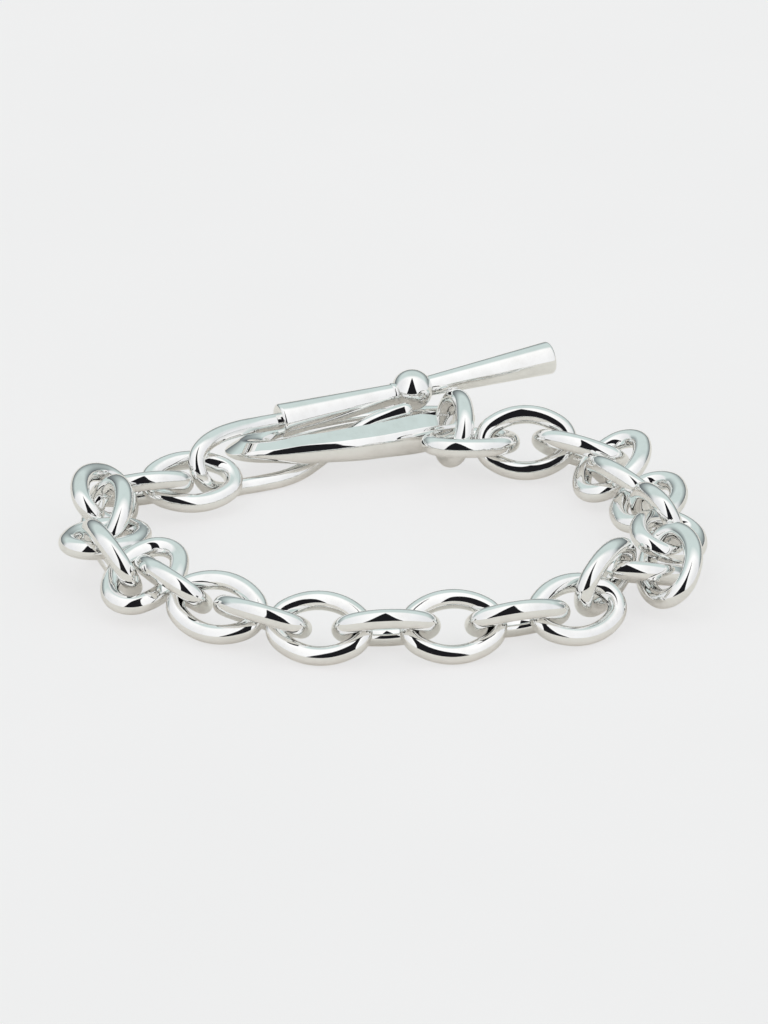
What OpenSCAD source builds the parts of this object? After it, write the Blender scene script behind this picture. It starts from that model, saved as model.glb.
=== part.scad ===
// Link bracelet lying in a loop: oval chain links, a long oval ring, and a bar whose hooked wire
// holds the other end of the chain and comes up through the ring.
// Lengths are in millimetres and angles in degrees. The bracelet lies on the plane z = 0, with
// its long extent along X, the clasp at the back and the middle of its box over the origin.

/* [Chain links] */
// Outer length of a link
link_len = 10; // [6:0.1:20]
// Outer width of a link
link_w = 7.3; // [5:0.1:15]
// Thickness of a link's wire
link_wire = 1.8; // [0.8:0.1:3]
// Radius of a link's end bend as a share of half its middle width
end_bend = 0.76; // [0.5:0.02:0.95]

/* [Ring] */
// Length of the ring, along the middle of its band
ring_len = 22.4; // [15:0.2:40]
// Width of the ring, across the middle of its band
ring_w = 7.8; // [6:0.2:16]
// Radial thickness of the near band at its broadest
band_w = 2.8; // [1.5:0.1:4]
// Height of the near band at its tallest
band_h = 3.8; // [1.5:0.1:6]
// How far the ring's near side is tipped up
ring_tip = 12; // [0:1:20]

/* [Bar] */
// Length of the bar
bar_len = 28.8; // [20:0.2:50]
// Diameter of the bar at its hook end
bar_end = 3.3; // [2:0.1:5]
// Diameter of the bar at its far end
bar_far_end = 3.2; // [2:0.1:5]
// Diameter of the bar beside the ball
bar_neck = 1.8; // [1:0.1:3]
// Diameter of the ball
ball = 4; // [2.5:0.1:6]
// Distance of the ball from the hook end
ball_at = 14; // [8:0.2:20]
// Rounding of the bar's end edges
end_round = 0.3; // [0.1:0.1:0.8]
// Diameter of the thin collar beside the ball
collar = 2.2; // [1.8:0.1:4]

/* [Hook] */
// Thickness of the hooked wire
hook_wire = 1.6; // [0.8:0.1:2]

/* [Hidden] */
// Half lengths of a link along the middle of its wire
half_len = (link_len - link_wire) / 2;
half_w = (link_w - link_wire) / 2;
// The two bends of a link: tight at its ends and wide along its sides
end_r = end_bend * half_w;
end_c = half_len - end_r;
side_r = (half_len * half_len + half_w * half_w - 2 * half_len * end_r) / (2 * (half_w - end_r));
side_c = side_r - half_w;
// Angle from the long axis at which an end bend meets a side
meet = atan2(side_c, end_c);

// Distance between one place where links touch and the next, and the one used in the lists below
pitch = link_len - 2 * link_wire;
drawn_pitch = 6.4;
lay = pitch / drawn_pitch;

// Where the links lie, from the one on the hook round to the one on the ring:
// [x, y, rise above the surface, heading of the long axis, its slope, roll about it]
link_places = [
    [-18.3, 1.1, 0.7, -162, 2, 157],
    [-23, -0.6, 0.05, -173, -5, -140],
    [-26.4, -3.9, 0.8, -105, 4, 140],
    [-26.1, -8.2, 0.3, -90, -15, 51],
    [-26, -13, 2.2, 49, -7, -3],
    [-25.2, -17.7, 0.5, -64, -6, -66],
    [-22.1, -19.8, 0.95, 56, 17, 7],
    [-19.4, -21.6, 0.25, -57, 4, -46],
    [-15.3, -25.5, 0.2, -27, -3, 36],
    [-11.1, -27.8, 0.4, -34, 2, -36],
    [-5.9, -29.6, 0, -12, 0, 40],
    [0.2, -30, 0.1, 4, 0, -44],
    [6.3, -29.4, 0, 9, 0, 41],
    [12.2, -28, 0.05, 18, -2, -43],
    [17.7, -25.7, 0.1, 31, 0, 36],
    [20.4, -21.9, 0.4, 60, 0, -81],
    [23.8, -18, 0.05, 22, -16, -25],
    [26.4, -18.7, 0.7, -86, -17, 40],
    [26.5, -13.6, 2.05, 65, -10, 21],
    [25.6, -9.2, 0.15, 108, -23, 72],
    [25, -4.2, 1.55, 71, 6, -10],
    [22.9, -0.1, 0, 124, -3, 49],
    [21.8, 4.2, 0.55, 61, 18, -14],
    [18.9, 7.6, 0.05, 156, 4, 41],
    [13.6, 8.2, 0.25, -178, 0, 124],
    [8.3, 7.4, 2.1, -154, 8, -168],
    [6.7, 11.15, 0.05, 100, -2, -72]
];

// Narrow end of the ring, on the middle of its band, and how the ring lies
ring_end = [8.0, 15.6, 2.6] * lay;
ring_heading = 19.5;
ring_slope = -0.3;

// Sections of the ring's band, counted from its narrow end round by its far side:
// [angle, share of band_w, share of band_h, share that the flat leaf takes]
ring_sections = [
    [0, 0.55, 0.4, 0],
    [30, 0.65, 0.5, 0],
    [60, 0.75, 0.6, 0],
    [90, 0.8, 0.63, 0],
    [120, 0.85, 0.6, 0],
    [150, 1.1, 0.55, 0.3],
    [180, 1.55, 0.5, 0.8],
    [210, 1.15, 0.55, 0.3],
    [240, 0.9, 0.75, 0.7],
    [270, 0.95, 0.9, 1],
    [297, 1, 1, 1],
    [322, 0.7, 0.55, 1],
    [345, 0.55, 0.4, 0.5],
    [360, 0.55, 0.4, 0]
];
// Direction of the leaf's flat across the band, and how much of the band's half size it removes
leaf_turn = 60;
leaf_cut = 0.25;
ring_steps = 72;
ring_sides = 20;

// Hook end of the bar, and how the bar lies
bar_place = [-10.1, 10.3, 4.7] * lay;
bar_heading = 23.5;
bar_slope = 3;
// Width of the collar, and the distance from it to the ball, which it reaches into
collar_w = 0.5;
collar_gap = -0.3;

// Route of the hooked wire, from the bar's end through the first link and up through the ring
hook_route = [
    [-12.2, 9.0, 4.9],
    [-14.0, 7.3, 5.3],
    [-15.8, 5.2, 5.6],
    [-17.1, 3.3, 5.5],
    [-17.8, 2.0, 4.8],
    [-17.6, 1.2, 3.5],
    [-16.7, 1.6, 1.9],
    [-15.3, 2.8, 0.95],
    [-13.5, 3.9, 0.82],
    [-11.5, 4.7, 0.82],
    [-9.6, 5.7, 0.82],
    [-8.0, 7.1, 0.87],
    [-6.6, 8.6, 1.2],
    [-5.0, 10.0, 1.9],
    [-3.2, 10.9, 2.9],
    [-1.3, 11.5, 3.9],
    [0.5, 11.9, 4.5],
    [2.0, 12.3, 4.85]
];
// Depth of the wire's root inside the bar
hook_root = 1;
// A direction that the route never follows, from which its sections are turned
hook_side = [-0.6, 0.8, 0];
hook_steps = 4;
hook_sides = 16;

silver = [0.85, 0.85, 0.86];

// Distance from a link's middle to the middle of its wire at the farthest, in the direction
// whose shares along the link's long and cross axes are p and q
function reach(p, q) =
    atan2(abs(q), abs(p)) < meet
        ? end_c * abs(p) + end_r * norm([p, q])
        : side_r * norm([p, q]) - side_c * abs(q);

// Shares of X, Y and Z along the long and cross axes of a link that lies as row g says
function x_share(g) = [cos(g[3]) * cos(g[4]), -sin(g[3]) * cos(g[5]) - cos(g[3]) * sin(g[4]) * sin(g[5])];
function y_share(g) = [sin(g[3]) * cos(g[4]), cos(g[3]) * cos(g[5]) - sin(g[3]) * sin(g[4]) * sin(g[5])];
function z_share(g) = [sin(g[4]), cos(g[4]) * sin(g[5])];
function x_reach(g) = reach(x_share(g)[0], x_share(g)[1]) + link_wire / 2;
function y_reach(g) = reach(y_share(g)[0], y_share(g)[1]) + link_wire / 2;
function z_reach(g) = reach(z_share(g)[0], z_share(g)[1]) + link_wire / 2;

// Direction of something that lies along a heading and a slope
function along(heading, slope) = [cos(heading) * cos(slope), sin(heading) * cos(slope), sin(slope)];

// The middle of the bracelet's box, from its outermost links and the bar's far end
left_side = min([for (g = link_places) g[0] * lay - x_reach(g)]);
right_side = max([for (g = link_places) g[0] * lay + x_reach(g)]);
front_side = min([for (g = link_places) g[1] * lay - y_reach(g)]);
bar_tip = bar_place + bar_len * along(bar_heading, bar_slope);
back_side = bar_tip[1] + bar_far_end / 2 * cos(bar_heading);
middle = [(left_side + right_side) / 2, (front_side + back_side) / 2, 0];

// Eased value between the rows of a table, column c, at angle t
function eased(s) = s * s * (3 - 2 * s);
function row_before(table, t, i = 0) =
    i >= len(table) - 2 || t < table[i + 1][0] ? i : row_before(table, t, i + 1);
function from_table(table, t, c) =
    let (i = row_before(table, t), a = table[i], b = table[i + 1])
    a[c] + (b[c] - a[c]) * eased((t - a[0]) / (b[0] - a[0]));

// Point of the ring's surface: angle t round the ring and angle s round its band
function band_point(t, s) =
    let (
        a = ring_len / 2,
        b = ring_w / 2,
        out = [b * cos(t), a * sin(t)] / norm([b * cos(t), a * sin(t)]),
        across = from_table(ring_sections, t, 1) * band_w / 2,
        tall = from_table(ring_sections, t, 2) * band_h / 2,
        p = [across * cos(s), tall * sin(s)],
        flat_way = [cos(leaf_turn), sin(leaf_turn)],
        most = norm([across * flat_way[0], tall * flat_way[1]]),
        limit = most * (1 - leaf_cut * from_table(ring_sections, t, 3)),
        over = max(0, p * flat_way - limit),
        q = p - over * flat_way
    )
    [a * cos(t) + q[0] * out[0], b * sin(t) + q[0] * out[1], q[1]];

// Catmull curve through the points of a route
function curve_point(r, i, s) =
    let (
        n = len(r) - 1,
        p0 = r[max(0, i - 1)],
        p1 = r[i],
        p2 = r[min(n, i + 1)],
        p3 = r[min(n, i + 2)]
    )
    (2 * p1 + s * (p2 - p0) + s * s * (2 * p0 - 5 * p1 + 4 * p2 - p3)
        + s * s * s * (3 * p1 - p0 - 3 * p2 + p3)) / 2;

// One bent rod of a link, of radius r from angle a0 to a1
module bend(r, a0, a1) {
    rotate([0, 0, a0])
    rotate_extrude(angle = a1 - a0, $fn = 96)
    translate([r, 0])
    circle(d = link_wire, $fn = 32);
}

// An oval link in the plane z = 0, with its long axis along X
module link_shape() {
    for (turn = [0, 180])
        rotate([0, 0, turn]) {
            translate([end_c, 0, 0])
            bend(end_r, -meet, meet);
            translate([0, -side_c, 0])
            bend(side_r, meet, 180 - meet);
        }
}

// Link number i of the chain in its place
module chain_link(i) {
    g = link_places[i];
    color(silver)
    translate([g[0] * lay, g[1] * lay, z_reach(g) + g[2]] - middle)
    rotate([g[5], -g[4], g[3]])
    link_shape();
}

module big_ring() {
    points = [
        for (i = [0 : ring_steps - 1])
            for (j = [0 : ring_sides - 1])
                band_point(i * 360 / ring_steps, j * 360 / ring_sides)
    ];
    faces = [
        for (i = [0 : ring_steps - 1])
            for (j = [0 : ring_sides - 1])
                let (
                    i1 = (i + 1) % ring_steps,
                    j1 = (j + 1) % ring_sides,
                    a = i * ring_sides + j,
                    b = i1 * ring_sides + j,
                    c = i1 * ring_sides + j1,
                    d = i * ring_sides + j1
                )
                each [[a, c, b], [a, d, c]]
    ];
    color(silver)
    translate(ring_end - middle)
    rotate([-ring_tip, -ring_slope, ring_heading])
    translate([-ring_len / 2, 0, 0])
    polyhedron(points, faces);
}

// The bar along +Z from its hook end, with the ball and the collar beside it
module bar_shape() {
    corner = [for (t = [0 : 15 : 90]) end_round * [cos(t), sin(t)]];
    rotate_extrude($fn = 64)
    polygon(concat(
        [[0, 0]],
        [for (t = [6 : -1 : 0]) [bar_end / 2 - end_round + corner[t][0], end_round - corner[t][1]]],
        [[bar_neck / 2, ball_at]],
        [for (t = [0 : 6]) [bar_far_end / 2 - end_round + corner[t][0], bar_len - end_round + corner[t][1]]],
        [[0, bar_len]]
    ));
    translate([0, 0, ball_at])
    sphere(d = ball, $fn = 64);
    translate([0, 0, ball_at - ball / 2 - collar_gap - collar_w])
    cylinder(d = collar, h = collar_w, $fn = 64);
}

// The hooked wire with its round tip
module hook_shape(route) {
    n = (len(route) - 1) * hook_steps;
    r = hook_wire / 2;
    line = [
        for (i = [0 : n])
            curve_point(route, min(len(route) - 2, floor(i / hook_steps)),
                i == n ? 1 : i / hook_steps - floor(i / hook_steps))
    ];
    tip_way = (line[n] - line[n - 1]) / norm(line[n] - line[n - 1]);
    stations = concat(
        [for (i = [0 : n]) [line[i], line[min(n, i + 1)] - line[max(0, i - 1)], r]],
        [for (a = [20 : 20 : 80]) [line[n] + r * sin(a) * tip_way, tip_way, r * cos(a)]]
    );
    last = len(stations) - 1;
    points = [
        for (g = stations)
            let (
                side = cross(g[1], hook_side) / norm(cross(g[1], hook_side)),
                up = cross(side, g[1]) / norm(g[1])
            )
            for (j = [0 : hook_sides - 1])
                g[0] + g[2] * (side * cos(j * 360 / hook_sides) + up * sin(j * 360 / hook_sides))
    ];
    faces = [
        [for (j = [hook_sides - 1 : -1 : 0]) j],
        for (i = [0 : last - 1])
            for (j = [0 : hook_sides - 1])
                let (
                    j1 = (j + 1) % hook_sides,
                    a = i * hook_sides + j,
                    b = (i + 1) * hook_sides + j,
                    c = (i + 1) * hook_sides + j1,
                    d = i * hook_sides + j1
                )
                each [[a, c, b], [a, d, c]],
        [for (j = [0 : hook_sides - 1]) last * hook_sides + j]
    ];
    polyhedron(points, faces);
}

module hook_bar() {
    way = along(bar_heading, bar_slope);
    color(silver)
    translate(-middle) {
        translate(bar_place)
        rotate([0, 90 - bar_slope, bar_heading])
        bar_shape();
        hook_shape(concat([bar_place + hook_root * way, bar_place], [for (p = hook_route) p * lay]));
    }
}

module link_01() { chain_link(0); }
module link_02() { chain_link(1); }
module link_03() { chain_link(2); }
module link_04() { chain_link(3); }
module link_05() { chain_link(4); }
module link_06() { chain_link(5); }
module link_07() { chain_link(6); }
module link_08() { chain_link(7); }
module link_09() { chain_link(8); }
module link_10() { chain_link(9); }
module link_11() { chain_link(10); }
module link_12() { chain_link(11); }
module link_13() { chain_link(12); }
module link_14() { chain_link(13); }
module link_15() { chain_link(14); }
module link_16() { chain_link(15); }
module link_17() { chain_link(16); }
module link_18() { chain_link(17); }
module link_19() { chain_link(18); }
module link_20() { chain_link(19); }
module link_21() { chain_link(20); }
module link_22() { chain_link(21); }
module link_23() { chain_link(22); }
module link_24() { chain_link(23); }
module link_25() { chain_link(24); }
module link_26() { chain_link(25); }
module link_27() { chain_link(26); }

link_01();
link_02();
link_03();
link_04();
link_05();
link_06();
link_07();
link_08();
link_09();
link_10();
link_11();
link_12();
link_13();
link_14();
link_15();
link_16();
link_17();
link_18();
link_19();
link_20();
link_21();
link_22();
link_23();
link_24();
link_25();
link_26();
link_27();
big_ring();
hook_bar();
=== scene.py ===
import math

import bmesh
import bpy
import numpy as np
from mathutils import Matrix, Vector


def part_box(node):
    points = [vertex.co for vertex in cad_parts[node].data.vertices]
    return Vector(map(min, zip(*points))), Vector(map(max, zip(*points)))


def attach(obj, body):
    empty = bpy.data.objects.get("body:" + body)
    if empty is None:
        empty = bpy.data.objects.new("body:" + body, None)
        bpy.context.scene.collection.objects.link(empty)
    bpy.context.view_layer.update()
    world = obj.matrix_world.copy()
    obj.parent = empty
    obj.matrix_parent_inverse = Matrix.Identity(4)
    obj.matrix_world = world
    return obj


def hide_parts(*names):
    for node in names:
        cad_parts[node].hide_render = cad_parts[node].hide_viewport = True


# The looks of the link bracelet: smooth polished links, ring, bar and hook, laid over the frame.
# Lengths are in metres.

mm = 0.001
weld = 0.001 * mm  # points of the clasp that lie nearer than this become one
black = (0, 0, 0, 1)
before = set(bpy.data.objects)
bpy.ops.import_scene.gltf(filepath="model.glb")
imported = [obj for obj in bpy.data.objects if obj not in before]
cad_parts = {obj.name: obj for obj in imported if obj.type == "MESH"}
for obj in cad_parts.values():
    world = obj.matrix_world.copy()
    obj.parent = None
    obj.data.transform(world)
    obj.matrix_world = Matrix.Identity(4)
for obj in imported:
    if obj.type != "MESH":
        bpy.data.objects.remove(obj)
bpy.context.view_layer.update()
print("frame loaded")

# Shader maths written as Python expressions


class Sock:
    def __init__(self, mat, value):
        self.mat = mat
        self.value = value.value if isinstance(value, Sock) else value

    def maths(self, operation, other, swap=False):
        a, b = (other, self) if swap else (self, other)
        return self.mat.node("ShaderNodeMath", {"operation": operation}, {0: a, 1: b})["Value"]

    def __add__(self, other):
        return self.maths("ADD", other)

    def __sub__(self, other):
        return self.maths("SUBTRACT", other)

    def __rsub__(self, other):
        return self.maths("SUBTRACT", other, True)

    def __mul__(self, other):
        return self.maths("MULTIPLY", other)

    __radd__ = __add__
    __rmul__ = __mul__


class Outputs:
    def __init__(self, mat, made):
        self.mat = mat
        self.made = made

    def __getitem__(self, name):
        return Sock(self.mat, self.made.outputs[name])


class Shader:
    def __init__(self, owner):  # a new material or world
        owner.use_nodes = True
        self.data = owner
        self.tree = owner.node_tree
        self.tree.nodes.clear()

    def node(self, kind, settings=None, inputs=None):  # the one way in which a node is made
        made = self.tree.nodes.new(kind)
        for key, value in (settings or {}).items():
            setattr(made, key, value)
        for key, value in (inputs or {}).items():
            socket = made.inputs[key]
            value = value.value if isinstance(value, Sock) else value
            if isinstance(value, bpy.types.NodeSocket):
                self.tree.links.new(value, socket)
            else:
                socket.default_value = value
        return Outputs(self, made)

    def place(self):
        return self.node("ShaderNodeTexCoord")["Object"]

    def noise(self, at, scale, detail, rough=0.55):
        return self.node("ShaderNodeTexNoise", {}, {
            "Vector": at, "Scale": scale, "Detail": detail, "Roughness": rough})["Fac"]

    def between(self, value, low, high, outLow=0.0, outHigh=1.0):
        return self.node("ShaderNodeMapRange", {"clamp": True}, {
            "Value": value, "From Min": low, "From Max": high,
            "To Min": outLow, "To Max": outHigh})["Result"]

    def mixColor(self, share, a, b):  # a Mix node's colour sockets are 6, 7 and 2
        return self.node("ShaderNodeMix", {"data_type": "RGBA"},
                         {"Factor": share, 6: a, 7: b})[2]

    def finish(self, shader):
        self.node("ShaderNodeOutputMaterial", {}, {"Surface": shader})
        return self.data


# Polished silver: bright, with a faint wave in its polish, hairlines and a little wear

silverLook = {
    "bright": (0.93, 0.93, 0.92, 1),
    "worn": (0.80, 0.79, 0.77, 1),
    "waveScale": 260.0,       # slow wave of the hand-polished wire
    "waveDetail": 2.0,
    "waveDepth": 0.00002,
    "cloudTimes": 2.3,        # patches of wear, so many times finer than the wave
    "cloudDetail": 4.0,
    "cloudFrom": 0.45,
    "cloudTo": 0.75,
    "hairScale": 5200.0,      # hairlines left by the polishing cloth
    "hairDetail": 2.0,
    "hairDepth": 0.0000006,
    "hairFrom": 0.58,
    "hairTo": 0.72,
    "hairShare": 0.35,        # how much hairlines and wear add to the roughness
    "cloudShare": 0.4,
    "wornShare": 0.5,         # how far wear dulls the colour
    "smooth": 0.035,
    "rubbed": 0.11,
}


def makeSilver(name, look, hairStretch):
    mat = Shader(bpy.data.materials.new(name))
    at = mat.place()
    wave = mat.noise(at, look["waveScale"], look["waveDetail"])
    clouds = mat.noise(at, look["waveScale"] * look["cloudTimes"], look["cloudDetail"])
    cloudy = mat.between(clouds, look["cloudFrom"], look["cloudTo"])
    stretched = mat.node("ShaderNodeMapping", {}, {"Vector": at, "Scale": hairStretch})["Vector"]
    hairs = mat.noise(stretched, look["hairScale"], look["hairDetail"])
    rubbed = (mat.between(hairs, look["hairFrom"], look["hairTo"]) * look["hairShare"]
              + cloudy * look["cloudShare"])
    bumpWave = mat.node("ShaderNodeBump", {}, {
        "Strength": 1.0, "Distance": look["waveDepth"], "Height": wave})["Normal"]
    bump = mat.node("ShaderNodeBump", {}, {
        "Strength": 1.0, "Distance": look["hairDepth"], "Height": hairs,
        "Normal": bumpWave})["Normal"]
    shader = mat.node("ShaderNodeBsdfPrincipled", {}, {
        "Base Color": mat.mixColor(cloudy * look["wornShare"], look["bright"], look["worn"]),
        "Metallic": 1.0,
        "Roughness": mat.between(rubbed, 0.0, 1.0, look["smooth"], look["rubbed"]),
        "Normal": bump})["BSDF"]
    return mat.finish(shader)


linkSilver = makeSilver("linkSilver", silverLook, (1.0, 1.0, 0.25))
claspSilver = makeSilver("claspSilver", silverLook, (0.25, 1.0, 1.0))
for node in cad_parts.values():
    node.data.materials.clear()
    node.data.materials.append(linkSilver)
print("materials made")

# Shared ways of making a piece


def finishPiece(bm, name, node, material):
    bmesh.ops.recalc_face_normals(bm, faces=bm.faces)
    mesh = bpy.data.meshes.new(name)
    bm.to_mesh(mesh)
    bm.free()
    mesh.shade_smooth()
    mesh.materials.append(material)
    piece = bpy.data.objects.new(name, mesh)
    bpy.context.scene.collection.objects.link(piece)
    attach(piece, "root")
    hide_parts(node)


def turned(heading, slope, roll):  # long axis along X, cross axis along Y, before turning
    return (Matrix.Rotation(math.radians(heading), 4, "Z")
            @ Matrix.Rotation(math.radians(-slope), 4, "Y")
            @ Matrix.Rotation(math.radians(roll), 4, "X"))


def seatOn(bm, node):  # moves a shape so that the middle of its box meets that of its CAD node
    low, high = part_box(node)
    wanted = (Vector(low) + Vector(high)) / 2
    places = [v.co for v in bm.verts]
    middle = Vector([(min(p[k] for p in places) + max(p[k] for p in places)) / 2
                     for k in range(3)])
    bmesh.ops.translate(bm, verts=bm.verts, vec=wanted - middle)


# Chain links: one oval of round wire, laid on each link of the frame

link = {
    "length": 10 * mm,
    "width": 7.3 * mm,
    "wire": 1.8 * mm,
    "endBend": 0.76,
    "around": 40,
    "endSteps": 22,
    "sideSteps": 26,
    "seam": 0.01 * mm,  # where the last bend meets the first
}


def ovalLink(size):
    halfLen = (size["length"] - size["wire"]) / 2
    halfWide = (size["width"] - size["wire"]) / 2
    endR = size["endBend"] * halfWide
    endC = halfLen - endR
    sideR = (halfLen ** 2 + halfWide ** 2 - 2 * halfLen * endR) / (2 * (halfWide - endR))
    sideC = sideR - halfWide
    meet = math.atan2(sideC, endC)
    bm = bmesh.new()
    bmesh.ops.create_circle(bm, segments=size["around"], radius=size["wire"] / 2)
    bmesh.ops.rotate(bm, verts=bm.verts, matrix=Matrix.Rotation(math.radians(90), 3, "X"))
    bmesh.ops.translate(bm, verts=bm.verts, vec=(endR, 0, 0))
    bmesh.ops.rotate(bm, verts=bm.verts, matrix=Matrix.Rotation(-meet, 3, "Z"))
    bmesh.ops.translate(bm, verts=bm.verts, vec=(endC, 0, 0))
    section = bm.verts[:] + bm.edges[:]
    for middle, angle, steps in (
            ((endC, 0, 0), 2 * meet, size["endSteps"]),
            ((0, -sideC, 0), math.pi - 2 * meet, size["sideSteps"]),
            ((-endC, 0, 0), 2 * meet, size["endSteps"]),
            ((0, sideC, 0), math.pi - 2 * meet, size["sideSteps"])):
        section = bmesh.ops.spin(bm, geom=section, cent=middle, axis=(0, 0, 1),
                                 angle=angle, steps=steps)["geom_last"]
    bmesh.ops.remove_doubles(bm, verts=bm.verts, dist=size["seam"])
    return bm


def lieOf(node):  # where a link of the frame lies: its middle and its three axes
    mesh = node.data
    corners = np.array([v.co[:] for v in mesh.vertices])
    middles = np.array([f.center[:] for f in mesh.polygons])
    areas = np.array([f.area for f in mesh.polygons])[:, None]
    mean = (middles * areas).sum(0) / areas.sum()
    spread = ((middles - mean) * areas).T @ (middles - mean)
    axes = np.linalg.eigh(spread)[1][:, ::-1].T  # long, cross and thin
    axes[2] = np.cross(axes[0], axes[1])
    along = corners @ axes.T
    middle = (along.min(0) + along.max(0)) / 2 @ axes
    return Matrix([[*axes[:, row], middle[row]] for row in range(3)] + [[0, 0, 0, 1]])


pattern = ovalLink(link)
linkNames = sorted(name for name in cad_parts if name.startswith("link_"))
for name in linkNames:
    bm = pattern.copy()
    bmesh.ops.transform(bm, matrix=lieOf(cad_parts[name]), verts=bm.verts)
    finishPiece(bm, name + "_wire", name, linkSilver)
pattern.free()
print("links made:", len(linkNames))

# Long oval ring: its band changes round the ring and carries a flat leaf on its near side,
# which runs on over its broad left end

ring = {
    "length": 22.4 * mm,
    "width": 7.8 * mm,
    "bandWide": 2.8 * mm,
    "bandTall": 3.8 * mm,
    "heading": 19.5,
    "slope": -0.3,
    "tip": 12,
    "leafTurn": 60,
    "leafCut": 0.25,
    "steps": 240,
    "around": 96,
    "hoop": 3,  # radius of the plain hoop, over that of its round band
}
# angle from the narrow end round by the far side, then shares of bandWide, bandTall and leafCut
ringSections = [
    (0, 0.55, 0.4, 0),
    (30, 0.65, 0.5, 0),
    (60, 0.75, 0.6, 0),
    (90, 0.8, 0.63, 0),
    (120, 0.85, 0.6, 0),
    (150, 1.1, 0.55, 0.3),
    (180, 1.55, 0.5, 0.8),
    (210, 1.15, 0.55, 0.3),
    (240, 0.9, 0.75, 0.7),
    (270, 0.95, 0.9, 1),
    (297, 1, 1, 1),
    (322, 0.7, 0.55, 1),
    (345, 0.55, 0.4, 0.5),
    (360, 0.55, 0.4, 0),
]


def ringShares(angle):
    for before, after in zip(ringSections, ringSections[1:]):
        if angle <= after[0]:
            break
    share = (angle - before[0]) / (after[0] - before[0])
    share = share * share * (3 - 2 * share)
    return [a + (b - a) * share for a, b in zip(before[1:], after[1:])]


def bandPoint(size, angle, turn):  # angle round the ring, turn round its band
    a, b = size["length"] / 2, size["width"] / 2
    c, s = math.cos(math.radians(angle)), math.sin(math.radians(angle))
    out = Vector((b * c, a * s)).normalized()
    wide, tall, leaf = ringShares(angle)
    wide, tall = wide * size["bandWide"] / 2, tall * size["bandTall"] / 2
    p = Vector((wide * math.cos(turn), tall * math.sin(turn)))
    leafTurn = math.radians(size["leafTurn"])
    flat = Vector((math.cos(leafTurn), math.sin(leafTurn)))
    limit = math.hypot(wide * flat.x, tall * flat.y) * (1 - size["leafCut"] * leaf)
    p -= max(0, p.dot(flat) - limit) * flat
    return Vector((a * c + p.x * out.x, b * s + p.x * out.y, p.y))


def makeRing(size):
    bm = bmesh.new()
    bmesh.ops.create_circle(bm, segments=size["around"], radius=1)
    bmesh.ops.rotate(bm, verts=bm.verts, matrix=Matrix.Rotation(math.radians(90), 3, "X"))
    bmesh.ops.translate(bm, verts=bm.verts, vec=(size["hoop"], 0, 0))
    bmesh.ops.spin(bm, geom=bm.verts[:] + bm.edges[:], cent=(0, 0, 0), axis=(0, 0, 1),
                   angle=math.tau, steps=size["steps"], use_merge=True)
    for v in bm.verts:  # the plain hoop takes the shape of the band
        angle = math.degrees(math.atan2(v.co.y, v.co.x)) % 360
        turn = math.atan2(v.co.z, math.hypot(v.co.x, v.co.y) - size["hoop"])
        v.co = bandPoint(size, angle, turn)
    lie = turned(size["heading"], size["slope"], -size["tip"])
    bmesh.ops.transform(bm, verts=bm.verts, matrix=lie)
    seatOn(bm, "big_ring")
    return bm


finishPiece(makeRing(ring), "ringBand", "big_ring", claspSilver)
print("ring made")

# Bar with its ball, and the hooked wire that leaves its end

bar = {
    "length": 28.8 * mm,
    "endWide": 3.3 * mm,
    "farWide": 3.2 * mm,
    "neckWide": 1.8 * mm,
    "ballWide": 4 * mm,
    "ballAt": 14 * mm,
    "ballRows": 64,
    "edge": 0.3 * mm,
    "edgeSteps": 6,
    "taperSteps": 20,
    "collarWide": 2.2 * mm,
    "collarLong": 0.5 * mm,
    "collarGap": -0.3 * mm,     # below nought: the collar reaches into the ball
    "collarSoft": 0.12 * mm,
    "place": Vector((-10.1, 10.3, 4.7)) * mm,
    "heading": 23.5,
    "slope": 3,
    "around": 96,
}
hook = {
    "wire": 1.6 * mm,
    "root": 1 * mm,
    "side": Vector((-0.6, 0.8, 0)),
    "steps": 12,
    "around": 40,
    "tipSteps": 8,
    "near": 0.02,  # how far to each side the route's direction is read, 1 from point to point
    "tipNear": 0.01,
}
# middle of the wire, from the bar's end through link_01, under the ring and up under the ball
hookRoute = [Vector(p) * mm for p in (
    (-12.2, 9.0, 4.9), (-14.0, 7.3, 5.3), (-15.8, 5.2, 5.6), (-17.1, 3.3, 5.5),
    (-17.8, 2.0, 4.8), (-17.6, 1.2, 3.5), (-16.7, 1.6, 1.9), (-15.3, 2.8, 0.95),
    (-13.5, 3.9, 0.82), (-11.5, 4.7, 0.82), (-9.6, 5.7, 0.82), (-8.0, 7.1, 0.87),
    (-6.6, 8.6, 1.2), (-5.0, 10.0, 1.9), (-3.2, 10.9, 2.9), (-1.3, 11.5, 3.9),
    (0.5, 11.9, 4.5), (2.0, 12.3, 4.85))]


def lathe(bm, profile, around):  # turns a profile of (radius, height) about Z
    verts = [bm.verts.new((r, 0, z)) for r, z in profile]
    edges = [bm.edges.new(pair) for pair in zip(verts, verts[1:])]
    bmesh.ops.spin(bm, geom=verts + edges, cent=(0, 0, 0), axis=(0, 0, 1),
                   angle=math.tau, steps=around, use_merge=True)


def curvePoint(route, t):  # a smooth curve through the route's points
    i = min(int(t), len(route) - 2)
    s = t - i
    last = len(route) - 1
    p0, p1, p2, p3 = (route[max(0, min(last, k))] for k in (i - 1, i, i + 1, i + 2))
    return (2 * p1 + s * (p2 - p0) + s * s * (2 * p0 - 5 * p1 + 4 * p2 - p3)
            + s ** 3 * (3 * p1 - p0 - 3 * p2 + p3)) / 2


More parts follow.
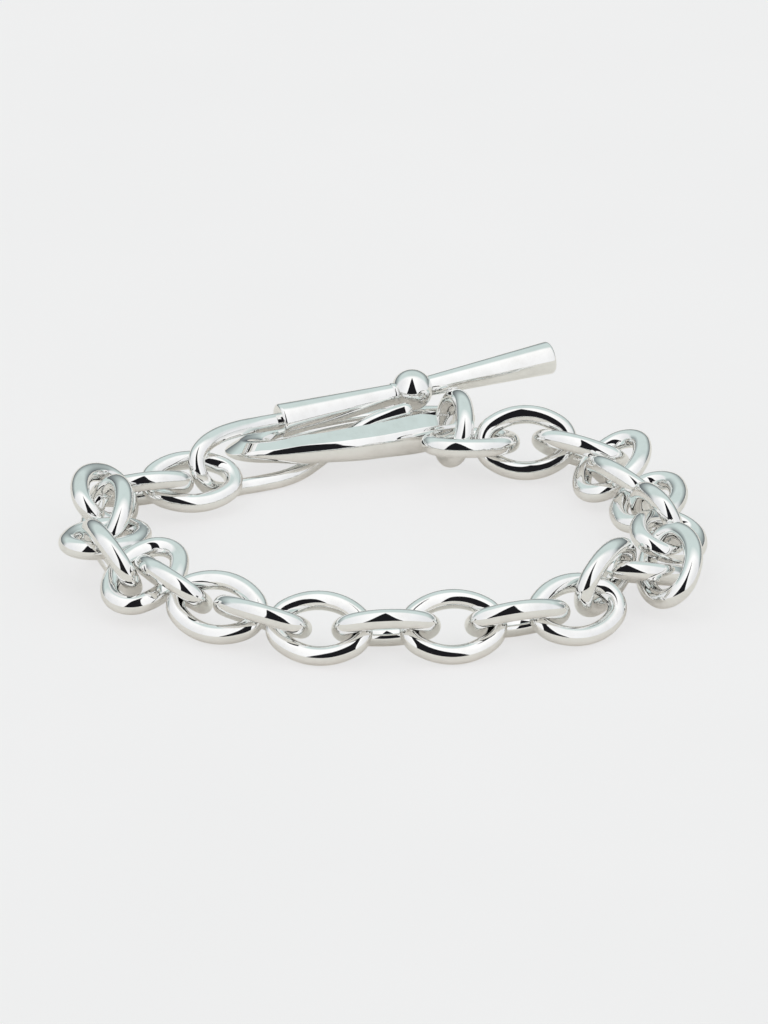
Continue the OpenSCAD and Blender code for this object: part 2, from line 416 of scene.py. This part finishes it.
def makeBar(size):
    bm = bmesh.new()
    half, far, neck = size["endWide"] / 2, size["farWide"] / 2, size["neckWide"] / 2
    edge, ballAt, steps = size["edge"], size["ballAt"], size["taperSteps"]
    start, end = half - edge, size["length"] - edge
    corner = [math.radians(90 * k / size["edgeSteps"]) for k in range(size["edgeSteps"] + 1)]
    profile = [(0, 0)]
    profile += [(start + edge * math.sin(a), edge - edge * math.cos(a)) for a in corner]
    profile += [(half + (neck - half) * k / steps, edge + (ballAt - edge) * k / steps)
                for k in range(1, steps + 1)]
    profile += [(neck + (far - neck) * k / steps, ballAt + (end - ballAt) * k / steps)
                for k in range(1, steps)]
    profile += [(far - edge + edge * math.cos(a), end + edge * math.sin(a)) for a in corner]
    profile += [(0, size["length"])]
    lathe(bm, profile, size["around"])
    collarTop = ballAt - size["ballWide"] / 2 - size["collarGap"]
    collarLow = collarTop - size["collarLong"]
    wide, soft = size["collarWide"] / 2, size["collarSoft"]
    lathe(bm, [(0, collarLow), (wide - soft, collarLow), (wide, collarLow + soft),
               (wide, collarTop - soft), (wide - soft, collarTop), (0, collarTop)], size["around"])
    bmesh.ops.create_uvsphere(bm, u_segments=size["around"], v_segments=size["ballRows"],
                              radius=size["ballWide"] / 2,
                              matrix=Matrix.Translation((0, 0, ballAt)))
    bmesh.ops.remove_doubles(bm, verts=bm.verts, dist=weld)
    lie = (Matrix.Translation(size["place"]) @ turned(size["heading"], size["slope"], 0)
           @ Matrix.Rotation(math.radians(90), 4, "Y"))
    bmesh.ops.transform(bm, verts=bm.verts, matrix=lie)
    return bm


def addHook(bm, size, barSize):
    way = turned(barSize["heading"], barSize["slope"], 0) @ Vector((1, 0, 0))
    route = [barSize["place"] + size["root"] * way, barSize["place"]] + hookRoute
    count = (len(route) - 1) * size["steps"]
    before = set(bm.verts)
    made = bmesh.ops.create_circle(bm, cap_ends=True, segments=size["around"], radius=1)
    rim = {e for v in made["verts"] for e in v.link_edges}
    bmesh.ops.spin(bm, geom=made["verts"] + list(rim), cent=(0, 0, 0), axis=(0, 0, 1),
                   dvec=(0, 0, 1), angle=0, steps=count + size["tipSteps"])
    near, tipNear, last = size["near"], size["tipNear"], len(route) - 1
    lastPoint, nearPoint = route[-1], curvePoint(route, last - tipNear)
    tipWay = (lastPoint - nearPoint).normalized()
    tube = [v for v in bm.verts if v not in before]
    for v in tube:  # the straight tube follows the route and closes in a round tip
        turn, k = math.atan2(v.co.y, v.co.x), round(v.co.z)
        radius = size["wire"] / 2
        if k <= count:
            t = k / size["steps"]
            centre = curvePoint(route, t)
            run = curvePoint(route, min(last, t + near)) - curvePoint(route, max(0, t - near))
        else:
            rise = math.radians(90) * (k - count) / size["tipSteps"]
            centre = lastPoint + radius * math.sin(rise) * tipWay
            run, radius = tipWay, radius * math.cos(rise)
        side = run.cross(size["side"]).normalized()
        up = side.cross(run).normalized()
        v.co = centre + radius * (side * math.cos(turn) + up * math.sin(turn))
    bmesh.ops.remove_doubles(bm, verts=tube, dist=weld)


barMesh = makeBar(bar)
addHook(barMesh, hook, bar)
seatOn(barMesh, "hook_bar")
finishPiece(barMesh, "barAndHook", "hook_bar", claspSilver)
print("bar and hook made")

# Floor, tent of light and camera

studio = {
    "floorWide": 3.0,
    "floorColor": (0.94, 0.935, 0.935, 1),
    "floorOwn": 0.7,                        # share of its light that the floor gives by itself
    "glowWide": 0.9,                        # warm sheet on the floor that only the metal mirrors
    "glowLift": 0.02 * mm,
    "glowColor": (0.94, 0.90, 0.84, 1),
    "glowOwn": 0.15,
    "grainScale": 20.0,                     # faint cloudiness of both
    "grainDetail": 3.0,
    "grainFrom": 0.3,
    "grainTo": 0.7,
    "grainDark": 0.985,
    "rough": 0.9,
    "camera": 0.65,
    "elevation": 26,
    "lens": 240,
    "sensor": 36,
    "clip": 0.01,
    "target": Vector((0.05, 4.83, 0)) * mm,
}
tent = {
    "cloth": (1.0, 1.0, 1.0, 1),            # white roof, and sides that are a little darker
    "sides": (0.78, 0.79, 0.81, 1),
    "sideStart": 0.2,                       # how far to a side its shade begins and is full
    "sideFull": 0.95,
    "rear": (0.58, 0.67, 0.66, 1),          # shaded wall behind the bracelet, dark at its foot
    "rearFoot": (0.10, 0.11, 0.12, 1),
    "footHigh": 0.5,
    "door": (0.012, 0.012, 0.014, 1),       # dark opening at the front, narrower towards the roof
    "bright": 1.1,
    "rearStart": 0.16,                      # how far to the rear its shade begins and is full
    "rearFull": 0.42,
    "doorWide": 0.5,                        # half width at the floor, as a direction's side part
    "doorTop": 97,                          # angle up from the front at which the opening closes
    "doorFoot": -0.05,
    "edge": 0.01,
}


def facing(place, target):
    return (target - place).to_track_quat("-Z", "Y").to_euler()


def makeTent(look):  # the air around the set, by direction
    air = Shader(bpy.data.worlds.new("tent"))
    way = air.node("ShaderNodeTexCoord")["Generated"]
    parts = air.node("ShaderNodeSeparateXYZ", {}, {"Vector": way})
    x, y, z = parts["X"], parts["Y"], parts["Z"]
    rear = air.between(y, look["rearStart"], look["rearFull"])
    wall = air.mixColor(air.between(z, 0, look["footHigh"]), look["rearFoot"], look["rear"])
    side = air.node("ShaderNodeMath", {"operation": "ABSOLUTE"}, {0: x})["Value"]
    sideShade = air.between(side, look["sideStart"], look["sideFull"])
    cloth = air.mixColor(sideShade, look["cloth"], look["sides"])
    cloth = air.mixColor(rear, cloth, wall)
    up = air.node("ShaderNodeMath", {"operation": "ARCTAN2"}, {0: z, 1: y * -1})["Value"]
    wide = (1 - up * (1 / math.radians(look["doorTop"]))) * look["doorWide"]
    inside = air.between(wide - side, 0, look["edge"])
    low = air.between(z, look["doorFoot"] - look["edge"], look["doorFoot"])
    shade = air.mixColor(inside * low, cloth, look["door"])
    glow = air.node("ShaderNodeBackground", {}, {
        "Color": shade, "Strength": look["bright"]})["Background"]
    air.node("ShaderNodeOutputWorld", {}, {"Surface": glow})
    return air.data


def plainMaterial(name, color, look, own):  # own: share of its light that it gives by itself
    mat = Shader(bpy.data.materials.new(name))
    clouds = mat.noise(mat.place(), look["grainScale"], look["grainDetail"])
    grain = mat.between(clouds, look["grainFrom"], look["grainTo"], look["grainDark"], 1.0)
    soft = mat.mixColor(grain, black, color)
    shader = mat.node("ShaderNodeBsdfPrincipled", {}, {
        "Base Color": mat.mixColor(1 - own, black, soft),
        "Roughness": look["rough"], "Specular IOR Level": 0.0,
        "Emission Color": soft, "Emission Strength": own})["BSDF"]
    return mat.finish(shader)


def makeSheet(name, wide, height, material):
    bm = bmesh.new()
    bmesh.ops.create_grid(bm, x_segments=1, y_segments=1, size=wide / 2)
    bmesh.ops.translate(bm, verts=bm.verts, vec=(0, 0, height))
    mesh = bpy.data.meshes.new(name)
    bm.to_mesh(mesh)
    bm.free()
    mesh.materials.append(material)
    sheet = bpy.data.objects.new(name, mesh)
    bpy.context.scene.collection.objects.link(sheet)
    return sheet


makeSheet("floor", studio["floorWide"], 0,
          plainMaterial("paleFloor", studio["floorColor"], studio, studio["floorOwn"]))
glow = makeSheet("floorGlow", studio["glowWide"], studio["glowLift"],
                 plainMaterial("warmFloor", studio["glowColor"], studio, studio["glowOwn"]))
glow.visible_camera = False
glow.visible_diffuse = False
glow.visible_shadow = False
bpy.context.scene.world = makeTent(tent)
bpy.context.scene.view_settings.view_transform = "Standard"

lens = bpy.data.cameras.new("camera")
lens.lens = studio["lens"]
lens.sensor_fit = "VERTICAL"
lens.sensor_height = studio["sensor"]
lens.clip_start = studio["clip"]
camera = bpy.data.objects.new("camera", lens)
rise = math.radians(studio["elevation"])
back = Vector((0, -math.cos(rise), math.sin(rise)))
camera.location = studio["target"] + studio["camera"] * back
camera.rotation_euler = facing(camera.location, studio["target"])
bpy.context.scene.collection.objects.link(camera)
bpy.context.scene.camera = camera
print("studio made")
